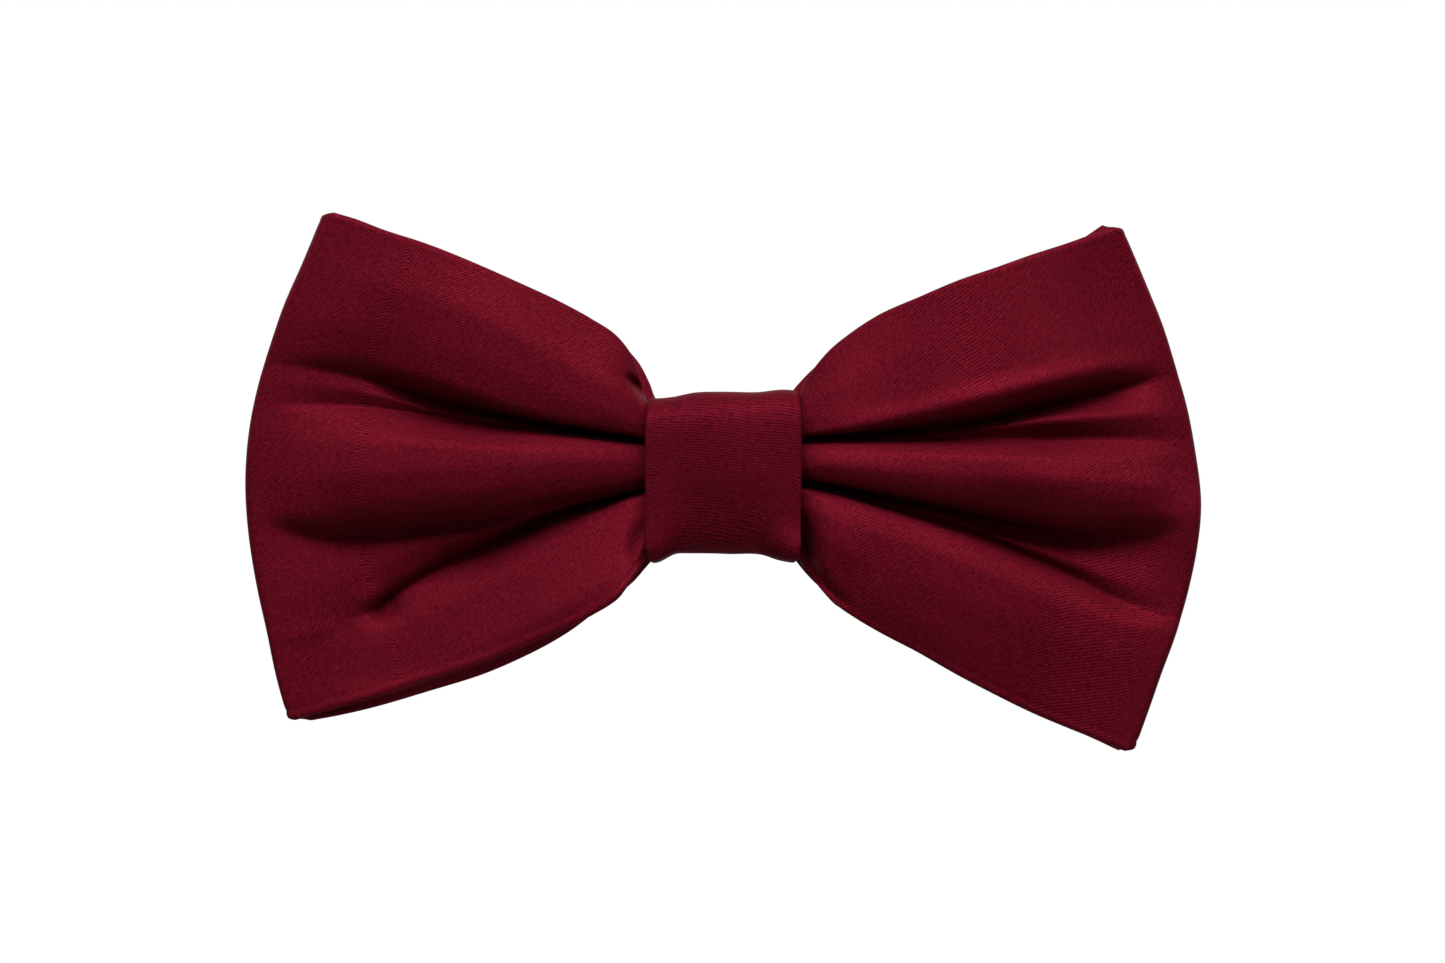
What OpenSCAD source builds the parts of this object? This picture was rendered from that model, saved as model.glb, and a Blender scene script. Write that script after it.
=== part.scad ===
// Clip-on bow tie: a gathered satin bow, a wrapped knot and a sprung collar clip.
// Front of the bow faces -Y, the collar lies on the +Y side, +X is the viewer's right, +Z is up.
// The origin is the middle of the clip plate's grip face, level with the knot's centre.

/* [Bow] */
// Width across both wings
bow_w = 120; // [114:1:126]
// Height of the left wing's upper corner above the knot's centre
left_top_h = 33.4; // [28:0.2:36]
// Depth of the left wing's lower corner below the knot's centre
left_bottom_h = 30.6; // [28:0.2:36]
// Height of the right wing's upper corner above the knot's centre
right_top_h = 31.2; // [28:0.2:36]
// Depth of the right wing's lower corner below the knot's centre
right_bottom_h = 34.4; // [28:0.2:36]
// How far each wing's middle stands out past its corners
wing_bulge = 8; // [4:0.5:10]
// Depth of the pleats at the knot, from the middle of the cloth
pleat_depth = 2.6; // [2:0.1:3]
// Depth of the pleats at the outer fold
outer_pleat_depth = 1; // [0.5:0.1:1.6]
// Depth of the ripple in the rear leaves
rear_ripple = 0.5; // [0.2:0.1:0.6]

/* [Cloth] */
// Thickness of the satin
satin_t = 0.35; // [0.25:0.05:0.35]
// Thickness of the interlining
lining_t = 0.4; // [0.3:0.05:0.4]
// Thickness of the sewing thread
thread_t = 0.35; // [0.25:0.05:0.35]

/* [Knot] */
// Width of the knot's band
knot_w = 19.5; // [17:0.5:19.5]
// Height of the knot
knot_h = 21.5; // [21.5:0.1:23]
// Thickness of the knot's folded band
band_t = 0.75; // [0.5:0.05:0.75]

/* [Clip] */
// Length of the clip
clip_w = 52; // [48:1:56]
// Height of the clip plate
clip_h = 11; // [10.6:0.1:12]
// Thickness of the clip plate
plate_t = 0.6; // [0.5:0.05:0.7]
// Thickness of the jaws' sheet
jaw_t = 0.5; // [0.4:0.05:0.5]
// Distance of each hinge pin from the middle
hinge_x = 14; // [13.5:0.1:15]
// Radius of the hinge pins
pin_r = 0.6; // [0.5:0.05:0.6]
// Slope of the thumb tabs, in degrees
tab_slope = 30; // [28:1:34]
// Number of teeth on each jaw
teeth = 5; // [3:1:7]

/* [Hidden] */
$fn = 48;

satin_colour = [0.34, 0.04, 0.09];
lining_colour = [0.26, 0.12, 0.14];
thread_colour = [0.26, 0.03, 0.07];
steel_colour = [0.75, 0.76, 0.78];
spring_colour = [0.55, 0.56, 0.58];

// Small gap that keeps touching pieces of cloth and thread apart
gap = 0.05;

// The bow's strip, seen from above, is a long loop: front run, outer folds, rear run.
loop_y = -5.35;
fold_r = 3.05;
waist_half_x = 9.75;
waist_half_h = 8.9;
seam_gap_x = 0.1;
corner_x = bow_w / 2 - wing_bulge;
strip_half_t = satin_t + lining_t / 2 + gap;
// Power that the wings widen by: steep beside the knot, then flatter
flare = 0.45;
// Share of the strip's width that each edge seam takes, and where the cloth starts
seam_share = 0.009;
cloth_start = 0.012;

// Stations along a wing: distance along the waist, reach from knot to fold, and turn round the fold
WAIST = [seam_gap_x, 5, waist_half_x];
REACHES = [0.02, 0.06, 0.14, 0.26, 0.42, 0.6, 0.8];
TURNS = [0, 30, 60, 90, 120, 150, 180];
FRONT_STATIONS = concat([for (x = WAIST) [x, 0, 0]], [for (g = REACHES) [waist_half_x, g, 0]]);
FOLD_STATIONS = [for (a = TURNS) [waist_half_x, 1, a]];
REAR_STATIONS = [for (st = FRONT_STATIONS) [st.x, st.y, 180]];
WING_STATIONS = concat(FRONT_STATIONS, FOLD_STATIONS, reversed(REAR_STATIONS));
STATIONS = concat([for (st = reversed(WING_STATIONS)) concat([-1], st)],
                  [for (st = WING_STATIONS) concat([1], st)]);

function reversed(list) = [for (i = [len(list) - 1 : -1 : 0]) list[i]];
function mix(a, b, f) = a + (b - a) * f;
function quad(a, b, c, d) = [[a, b, c], [a, c, d]];
function joined(lists) = [for (list = lists) for (item = list) item];

// Height of the strip's edge at a reach along the wing
function edge_z(corner_h, reach) = waist_half_h + (corner_h - waist_half_h) * pow(reach, flare);
function top_z(side, reach) = edge_z(side < 0 ? left_top_h : right_top_h, reach);
function bottom_z(side, reach) = -edge_z(side < 0 ? left_bottom_h : right_bottom_h, reach);
// Where the outer fold starts, at a share of the strip's width
function fold_x(share) = corner_x + wing_bulge * 4 * share * (1 - share)
    - fold_r - strip_half_t - pleat_size(1, 90);
// Three ridges and two valleys across the strip
function pleat_wave(share) = cos(3 * 360 * (share - 0.5));
function pleat_size(reach, turn) =
    mix(-rear_ripple, mix(pleat_depth, outer_pleat_depth, reach), (1 + cos(turn)) / 2);

// Point of the strip: station, share of the width from the bottom, and depth from its middle
function strip_point(station, share, depth) =
    let (side = station[0], waist_x = station[1], reach = station[2], turn = station[3],
         out = fold_r + depth + pleat_size(reach, turn) * pleat_wave(share),
         run_x = waist_x + reach * (fold_x(share) - waist_half_x))
    [side * (run_x + out * sin(turn)),
     loop_y - out * cos(turn),
     mix(bottom_z(side, reach), top_z(side, reach), share)];

// Closed sheet of the strip between two shares of its width and two depths
module strip(share_0, share_1, cells, depth_0, depth_1) {
    rows = len(STATIONS);
    cols = cells + 1;
    points = [for (depth = [depth_0, depth_1]) for (station = STATIONS) for (j = [0 : cells])
              strip_point(station, mix(share_0, share_1, j / cells), depth)];
    function at(k, i, j) = (k * rows + i) * cols + j;
    inner = [for (i = [0 : rows - 2]) for (j = [0 : cells - 1])
             quad(at(0, i, j), at(0, i + 1, j), at(0, i + 1, j + 1), at(0, i, j + 1))];
    outer = [for (i = [0 : rows - 2]) for (j = [0 : cells - 1])
             quad(at(1, i, j), at(1, i, j + 1), at(1, i + 1, j + 1), at(1, i + 1, j))];
    bottom = [for (i = [0 : rows - 2]) quad(at(0, i, 0), at(1, i, 0), at(1, i + 1, 0), at(0, i + 1, 0))];
    top = [for (i = [0 : rows - 2])
           quad(at(0, i, cells), at(0, i + 1, cells), at(1, i + 1, cells), at(1, i, cells))];
    first = [for (j = [0 : cells - 1]) quad(at(0, 0, j), at(0, 0, j + 1), at(1, 0, j + 1), at(1, 0, j))];
    last = [for (j = [0 : cells - 1])
            quad(at(0, rows - 1, j), at(1, rows - 1, j), at(1, rows - 1, j + 1), at(0, rows - 1, j + 1))];
    polyhedron(points, joined(concat(inner, outer, bottom, top, first, last)));
}

module cloth_layer(depth_0, depth_1) {
    strip(cloth_start, 1 - cloth_start, 12, depth_0, depth_1);
}

module bow_outer_satin() {
    color(satin_colour) cloth_layer(lining_t / 2 + gap, strip_half_t);
}

module bow_interlining() {
    color(lining_colour) cloth_layer(-lining_t / 2, lining_t / 2);
}

module bow_inner_satin() {
    color(satin_colour) cloth_layer(-strip_half_t, -lining_t / 2 - gap);
}

// Stitched edges that close the strip along its top and bottom
module bow_edge_seams() {
    color(thread_colour) {
        strip(0, seam_share, 1, -satin_t, satin_t);
        strip(1 - seam_share, 1, 1, -satin_t, satin_t);
    }
}

// Stitches across the join of the strip's two ends, inside the loop behind the knot
module bow_back_seam() {
    stitch_count = 8;
    stitch_length = 2.4;
    color(thread_colour)
        for (i = [1 : stitch_count]) {
            share = i / (stitch_count + 1);
            y = strip_point([1, seam_gap_x, 0, 180], share, -strip_half_t - gap - thread_t / 2).y;
            z = mix(-waist_half_h, waist_half_h, share);
            translate([-stitch_length / 2, y, z])
                rotate([0, 90, 0])
                    cylinder(d = thread_t, h = stitch_length, $fn = 24);
        }
}

// Rounded rectangle in the plane of Y and Z, extruded along X
module loop_block(y_front, y_back, half_h, width, corner_r) {
    rotate([90, 0, 90])
        linear_extrude(width, center = true)
            rounded_rectangle(y_front, y_back, half_h, corner_r);
}

module rounded_rectangle(x0, x1, half_h, r) {
    translate([x0 + r, -half_h]) square([x1 - x0 - 2 * r, 2 * half_h]);
    translate([x0, -half_h + r]) square([x1 - x0, 2 * half_h - 2 * r]);
    for (x = [x0 + r, x1 - r])
        for (y = [-half_h + r, half_h - r])
            translate([x, y]) circle(r);
}

// The band, its lining and the thread are loops, each inside the last.
band_half_h = knot_h / 2;
lining_half_h = band_half_h - band_t - gap;
band_lining_t = 0.35;
thread_half_h = waist_half_h + 0.3 + thread_t;
waist_front_y = loop_y - fold_r - strip_half_t - pleat_depth;
waist_back_y = loop_y + fold_r + strip_half_t + rear_ripple;
thread_front_y = waist_front_y - gap - thread_t;
thread_back_y = waist_back_y + gap + thread_t;
lining_front_y = thread_front_y - gap - band_lining_t;
lining_back_y = gap + band_lining_t;
band_front_y = lining_front_y - gap - band_t;
band_back_y = lining_back_y + gap + band_t;
thread_corner_r = 1.2;
lining_corner_r = thread_corner_r + gap + band_lining_t;
band_corner_r = lining_corner_r + gap + band_t;

module loop_ring(y_front, y_back, half_h, thickness, width, corner_r) {
    difference() {
        loop_block(y_front, y_back, half_h, width, corner_r);
        loop_block(y_front + thickness, y_back - thickness, half_h - thickness, width + 1,
                   corner_r - thickness);
    }
}

// Turns of thread that bind the gathered waist
module gather_thread() {
    turns = 5;
    pitch = 1;
    color(thread_colour)
        for (i = [0 : turns - 1])
            translate([(i - (turns - 1) / 2) * pitch, 0, 0])
                loop_ring(thread_front_y, thread_back_y, thread_half_h, thread_t, thread_t,
                          thread_corner_r);
}

// The ends of the band meet in a slit at the back.
slit_z = -2;
slit_h = 0.3;

module band_slit(y) {
    translate([-knot_w, y - 1.5, slit_z - slit_h / 2]) cube([2 * knot_w, 3, slit_h]);
}

module knot_wrap() {
    color(satin_colour)
        difference() {
            loop_ring(band_front_y, band_back_y, band_half_h, band_t, knot_w, band_corner_r);
            band_slit(band_back_y);
        }
}

module knot_interlining() {
    margin = 1;
    color(lining_colour)
        difference() {
            loop_ring(lining_front_y, lining_back_y, lining_half_h, band_lining_t, knot_w - margin,
                      lining_corner_r);
            band_slit(lining_back_y - 0.5);
        }
}

module knot_closing_stitches() {
    stitch_count = 7;
    pitch = 2.5;
    stitch_length = 1.8;
    color(thread_colour)
        for (i = [0 : stitch_count - 1])
            translate([(i - (stitch_count - 1) / 2) * pitch, band_back_y + gap / 2 + thread_t / 2,
                       slit_z - stitch_length / 2])
                cylinder(d = thread_t, h = stitch_length, $fn = 24);
}

// Collar clip: a plate with two pairs of ears, and a jaw hinged on a pin between each pair.
hinge_y = 1.9;
ear_r = 1.5;
jaw_gap = 0.3;
jaw_half_h = clip_h / 2 - plate_t - jaw_gap;
jaw_y = 3.4;
jaw_clearance = 0.05;
pin_clearance = 0.02;
plate_waist_h = 8;
plate_waist_x = waist_half_x + 0.3;
end_chamfer = 1.5;

module both_sides() {
    children();
    mirror([1, 0, 0]) children();
}

module plate_outline() {
    x = clip_w / 2;
    z = clip_h / 2;
    waist_z = plate_waist_h / 2;
    polygon(concat(
        [[plate_waist_x, waist_z], [plate_waist_x + 1, z], [x - end_chamfer, z], [x, z - end_chamfer],
         [x, end_chamfer - z], [x - end_chamfer, -z], [plate_waist_x + 1, -z], [plate_waist_x, -waist_z]],
        [[-plate_waist_x, -waist_z], [-plate_waist_x - 1, -z], [end_chamfer - x, -z], [-x, end_chamfer - z],
         [-x, z - end_chamfer], [end_chamfer - x, z], [-plate_waist_x - 1, z], [-plate_waist_x, waist_z]]));
}

// An ear stands at right angles to the plate, between two heights
module ear(z0, thickness, radius, foot_y) {
    translate([hinge_x, hinge_y, z0]) cylinder(r = radius, h = thickness);
    translate([hinge_x - radius, min(foot_y, hinge_y), z0])
        cube([2 * radius, abs(foot_y - hinge_y), thickness]);
}

module pin_hole(clearance) {
    translate([hinge_x, hinge_y, -clip_h]) cylinder(r = pin_r + clearance, h = 2 * clip_h);
}

module clip_base_plate() {
    color(steel_colour)
        difference() {
            union() {
                rotate([90, 0, 0]) linear_extrude(plate_t) plate_outline();
                both_sides()
                    for (z0 = [-clip_h / 2, clip_h / 2 - plate_t])
                        ear(z0, plate_t, ear_r, -plate_t / 2);
            }
            both_sides() pin_hole(pin_clearance);
        }
}

// Jaw drawn for the right side: ears, gripping arm with a toothed lip, and a thumb tab
jaw_arm_x = hinge_x - 1;
jaw_tip_x = clip_w / 2 - 0.4;
tab_length = 8.5;
lip_clearance = 0.2;

module jaw_teeth() {
    tooth_pitch = 2 * jaw_half_h / teeth;
    tooth_size = tooth_pitch / sqrt(2);
    for (i = [0 : teeth])
        translate([jaw_tip_x - 2, lip_clearance, -jaw_half_h + i * tooth_pitch])
            rotate([45, 0, 0])
                translate([0, -tooth_size / 2, -tooth_size / 2])
                    cube([4, tooth_size, tooth_size]);
}

module jaw() {
    arm_length = jaw_tip_x - jaw_arm_x;
    tab_half_h = jaw_half_h - 0.5;
    color(steel_colour)
        difference() {
            union() {
                translate([jaw_arm_x, jaw_y, -jaw_half_h]) cube([arm_length, jaw_t, 2 * jaw_half_h]);
                translate([jaw_tip_x - jaw_t, lip_clearance, -jaw_half_h])
                    cube([jaw_t, jaw_y - lip_clearance + jaw_t / 2, 2 * jaw_half_h]);
                translate([jaw_arm_x, jaw_y, 0])
                    rotate([0, 0, -tab_slope])
                        translate([-tab_length, 0, -tab_half_h])
                            cube([tab_length + jaw_t / 2, jaw_t, 2 * tab_half_h]);
                for (z0 = [-jaw_half_h, jaw_half_h - jaw_t])
                    ear(z0, jaw_t, 1.3, jaw_y + jaw_t / 2);
            }
            pin_hole(jaw_clearance);
            jaw_teeth();
        }
}

module right_jaw() {
    jaw();
}

module left_jaw() {
    mirror([1, 0, 0]) jaw();
}

module hinge_pin() {
    head_t = 0.35;
    head_r = 1;
    head_z = clip_h / 2 + 0.02;
    color(steel_colour)
        translate([hinge_x, hinge_y, 0]) {
            cylinder(r = pin_r, h = 2 * head_z, center = true);
            for (z = [-head_z - head_t, head_z])
                translate([0, 0, z]) cylinder(r = head_r, h = head_t);
        }
}

module right_hinge_pin() {
    hinge_pin();
}

module left_hinge_pin() {
    mirror([1, 0, 0]) hinge_pin();
}

// Torsion spring: a coil round the pin, with one leg on the plate and one under the thumb tab
coil_r = 1;
wire_r = 0.22;
coil_turns = 5.5;
coil_pitch = 0.56;
turn_steps = 12;
plate_leg_end = [-3.6, -1.6];
tab_leg_end = [-2.9, 2.05];

function coil_point(i) =
    let (angle = -90 - 360 * i / turn_steps)
    [coil_r * cos(angle), coil_r * sin(angle), coil_pitch * (i / turn_steps - coil_turns / 2)];

COIL = [for (i = [0 : coil_turns * turn_steps]) coil_point(i)];
coil_half_h = coil_pitch * coil_turns / 2;
SPRING_ROUTE = concat([[plate_leg_end.x, plate_leg_end.y, -coil_half_h]], COIL,
                      [[tab_leg_end.x, tab_leg_end.y, coil_half_h]]);

function unit(v) = v / norm(v);
function direction(route, i) = unit(route[min(i + 1, len(route) - 1)] - route[max(i - 1, 0)]);
// Ring of points round a route, kept upright by the hinge's axis
function wire_ring(route, i, radius, sides) =
    let (along = direction(route, i),
         across = unit(cross(along, [0, 0, 1])),
         up = cross(across, along))
    [for (k = [0 : sides - 1])
        route[i] + radius * (cos(360 * k / sides) * across + sin(360 * k / sides) * up)];

module wire(route, radius, sides) {
    last = len(route) - 1;
    points = [for (i = [0 : last]) for (p = wire_ring(route, i, radius, sides)) p];
    skin = [for (i = [0 : last - 1]) for (k = [0 : sides - 1])
            quad(i * sides + k, (i + 1) * sides + k, (i + 1) * sides + (k + 1) % sides,
                 i * sides + (k + 1) % sides)];
    ends = [[for (k = [0 : sides - 1]) k], [for (k = [sides - 1 : -1 : 0]) last * sides + k]];
    polyhedron(points, concat(joined(skin), ends));
}

module spring() {
    color(spring_colour)
        translate([hinge_x, hinge_y, 0]) wire(SPRING_ROUTE, wire_r, 6);
}

module right_spring() {
    spring();
}

module left_spring() {
    mirror([1, 0, 0]) spring();
}

bow_outer_satin();
bow_interlining();
bow_inner_satin();
bow_edge_seams();
bow_back_seam();
gather_thread();
knot_wrap();
knot_interlining();
knot_closing_stitches();
clip_base_plate();
left_jaw();
right_jaw();
left_hinge_pin();
right_hinge_pin();
left_spring();
right_spring();
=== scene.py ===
"""Bow tie: a gathered satin bow, a wrapped knot and the collar clip behind it.

Lengths in the tables below are millimetres, in the frame of the CAD model: +X to the viewer's right,
-Y to the front and +Z up, with the knot's centre at x = 0, z = 0.
"""

import functools
import math

import bpy
import numpy as np
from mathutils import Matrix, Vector


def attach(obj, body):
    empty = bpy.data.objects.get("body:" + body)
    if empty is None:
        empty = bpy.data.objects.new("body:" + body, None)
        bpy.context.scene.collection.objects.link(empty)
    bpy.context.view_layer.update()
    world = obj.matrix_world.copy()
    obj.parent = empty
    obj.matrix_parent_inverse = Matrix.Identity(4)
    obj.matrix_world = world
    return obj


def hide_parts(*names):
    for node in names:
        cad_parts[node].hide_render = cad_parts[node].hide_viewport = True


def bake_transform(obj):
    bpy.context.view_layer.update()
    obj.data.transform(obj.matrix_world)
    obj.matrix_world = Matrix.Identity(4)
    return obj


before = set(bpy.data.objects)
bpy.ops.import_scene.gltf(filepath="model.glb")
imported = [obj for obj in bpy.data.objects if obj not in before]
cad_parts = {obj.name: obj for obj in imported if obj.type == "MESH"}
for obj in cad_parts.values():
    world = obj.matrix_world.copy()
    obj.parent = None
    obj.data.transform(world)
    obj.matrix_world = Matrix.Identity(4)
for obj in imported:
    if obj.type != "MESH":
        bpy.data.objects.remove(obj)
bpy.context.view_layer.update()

MM = 0.001

# ---------------------------------------------------------------- sizes, in millimetres and degrees

# The bow's strip: one sheet that stands for all its layers
CLOTH_T = 1.1
FOLD_OUT = 1.5
FOLD_ROUNDNESS = 0.8
BACK_SEAM_HALF_GAP = 0.2
# Mesh steps: rows along the strip, and columns in each of a leaf's five lobes
LEAF_ROWS = 96
FOLD_ROWS = 14
WAIST_ROWS = 8
LOBE_COLUMNS = (40, 12, 36, 12, 46)
LOBE_SAMPLES = 121
SHARES = np.linspace(0, 1, 241)
# The first columns in from a free edge
EDGE_COLUMNS = (0.35, 0.7, 1.05, 1.5)
EDGE_STEPS = 5
# Smoothing passes: of a row's relief, and of the normals that the thickness follows
RELIEF_PASSES = 40
BOW_NORMAL_PASSES = 12
BAND_NORMAL_PASSES = 2
LINING_NORMAL_PASSES = 1
# Relief lines keep at least this share of a row between them.
LINE_GAP = 0.002
# The outer fold's corners are pulled onto the edge lines. The pull falls off with this power.
CORNER_PULL = 5
# The strip is stitched this far from its long edges, and the stitching sinks in: (bottom, top).
SEAM_AT = 0.8
SEAM_W = 0.22
BOW_GROOVE = (0.14, 0.03)
BAND_GROOVE = (0.07, 0.07)

# The knot, and the band round it
KNOT_Y = -6.0
KNOT_HALF_DEPTH = 7.2
KNOT_HALF_H = 10.0
KNOT_HALF_W = 8.75
KNOT_BARREL = 0.6
# The knot is shallower at its sides and squarer at its lower corners, both in full this far out.
KNOT_SIDE_LOSS = 0.5
KNOT_SIDE_AT = 10
KNOT_TOP_POWER = 5.0
KNOT_LOW_POWER = 4.4
KNOT_CORNER_POWER = 7.0
KNOT_CORNER_AT = 9
BAND_T = 0.8
BAND_COLUMNS = 56
BAND_ROWS = 220
ANGLE_SAMPLES = 721
# The band's lower corners flare forward: (left, right). A flare starts this far below the middle and
# this far to the side, over this soft edge. Between them the lower half slants back by this share.
FLARE = (1.0, 2.2)
FLARE_FROM = 4.5
FLARE_AT = 6.3
FLARE_EDGE = 0.7
TUCK = 0.15
# The band starts behind the knot, goes once round and laps over its own start (degrees round it).
BAND_START = -22
BAND_END = 366
LAP_FROM = 300
LAP_RISE = 0.85
# The band's faint unevenness: height, number of waves and seed, and the range of the waves' radians
# per millimetre and of their starts
BAND_WAVES = (0.05, 7, 3)
WAVE_RANGE = (0.35, 1.3)
WAVE_STARTS = (0, 6.28)
# Heights of the knot's upper and lower ends across its width: (x, z)
KNOT_TOP = [
    (-9.8, 9.2), (-8.4, 9.1), (-6.4, 9.25), (-3.6, 9.8), (0, 9.95), (4.5, 9.9), (7.6, 10.2), (9.8, 10.0),
]
KNOT_BOTTOM = [
    (-9.8, 10.1), (-8.6, 10.0), (-6.4, 9.0), (-3.0, 8.85), (0.8, 8.95), (5.2, 9.1), (7.2, 9.7), (9.8, 10.1),
]
LINING_HALF_W = 8.6
LINING_T = 0.3
LINING_GAP = 0.08
LINING_END = 352
LINING_ROWS = 120
LINING_COLUMNS = 20

# The gathering thread inside the knot, with its points per turn, and the stitches behind the knot
GATHER_TURNS = 9
GATHER_PITCH = 0.5
GATHER_INSET = 1.75
GATHER_POINTS = 60
GATHER_R = 0.2
STITCHES = 9
STITCH_REACH = 7.6
STITCH_POINTS = 9
STITCH_R = 0.16
STITCH_HALF_LENGTH = (0.35, 0.05, 0.8)
STITCH_BULGE = 0.12

# The clip's torsion springs, about each jaw's hinge. Legs are (x, y) on the right-hand side.
HINGE_X = 14.0
HINGE_Y = 1.9
COIL_R = 1.0
WIRE_R = 0.22
COIL_TURNS = 5.5
COIL_PITCH = 0.56
TURN_POINTS = 28
PLATE_LEG_END = (-3.6, -1.6)
PLATE_LEG_RISE = -1.32
TAB_LEG_END = (-2.9, 2.05)
TAB_LEG_RISE = 1.54

# A wing's silhouette seen from the front: (x, z). Edges run from the knot to the outer corners,
# and the outer fold runs from the bottom corner to the top corner.
LEFT_OUTLINE = {
    "top": [
        (-8.8, 9.3), (-9.5, 10.7), (-10.2, 12.9), (-11.3, 15.5), (-13.3, 17.8), (-16.6, 19.9),
        (-20.7, 22.0), (-25.7, 24.2), (-31.9, 26.8),
        (-38.3, 29.2), (-44.0, 31.0), (-47.8, 32.4), (-50.6, 33.2),
    ],
    "bottom": [
        (-8.8, -9.6), (-9.6, -10.9), (-10.7, -12.3), (-12.1, -14.0), (-14.8, -16.1), (-17.9, -17.9),
        (-21.7, -19.6), (-25.6, -21.2), (-31.8, -23.6),
        (-38.6, -25.6), (-45.2, -27.7), (-51.0, -29.4), (-55.5, -30.7),
    ],
    "fold": [
        (-55.5, -30.7), (-56.8, -25.6), (-57.9, -19.9), (-59.2, -13.6), (-60.2, -6.7), (-60.5, -0.4),
        (-59.8, 7.2), (-58.4, 13.2), (-57.0, 17.5), (-55.5, 21.7), (-53.2, 26.9), (-50.6, 33.2),
    ],
}
RIGHT_OUTLINE = {
    "top": [
        (8.8, 9.7), (9.4, 11.2), (10.8, 13.4), (13.0, 15.8), (16.0, 18.1), (19.8, 20.4), (24.8, 22.5),
        (29.9, 24.5), (34.9, 26.1), (39.9, 27.8), (44.4, 29.2), (47.6, 30.3), (50.5, 31.3),
    ],
    "bottom": [
        (8.8, -9.6), (9.6, -10.9), (11.3, -13.4),
        (13.5, -15.6), (15.8, -17.3), (19.7, -19.6), (24.8, -22.2),
        (29.9, -25.0), (34.9, -27.5), (39.9, -29.8), (44.9, -31.8), (49.4, -33.5), (52.1, -34.6),
    ],
    "fold": [
        (52.1, -34.6), (53.6, -30.3), (55.3, -25.3),
        (57.4, -19.5), (58.9, -14.2), (59.9, -9.2), (60.4, -2.9),
        (59.7, 3.4), (58.6, 9.1), (57.0, 14.7), (55.6, 19.1), (53.5, 24.3), (50.5, 31.3),
    ],
}

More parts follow.
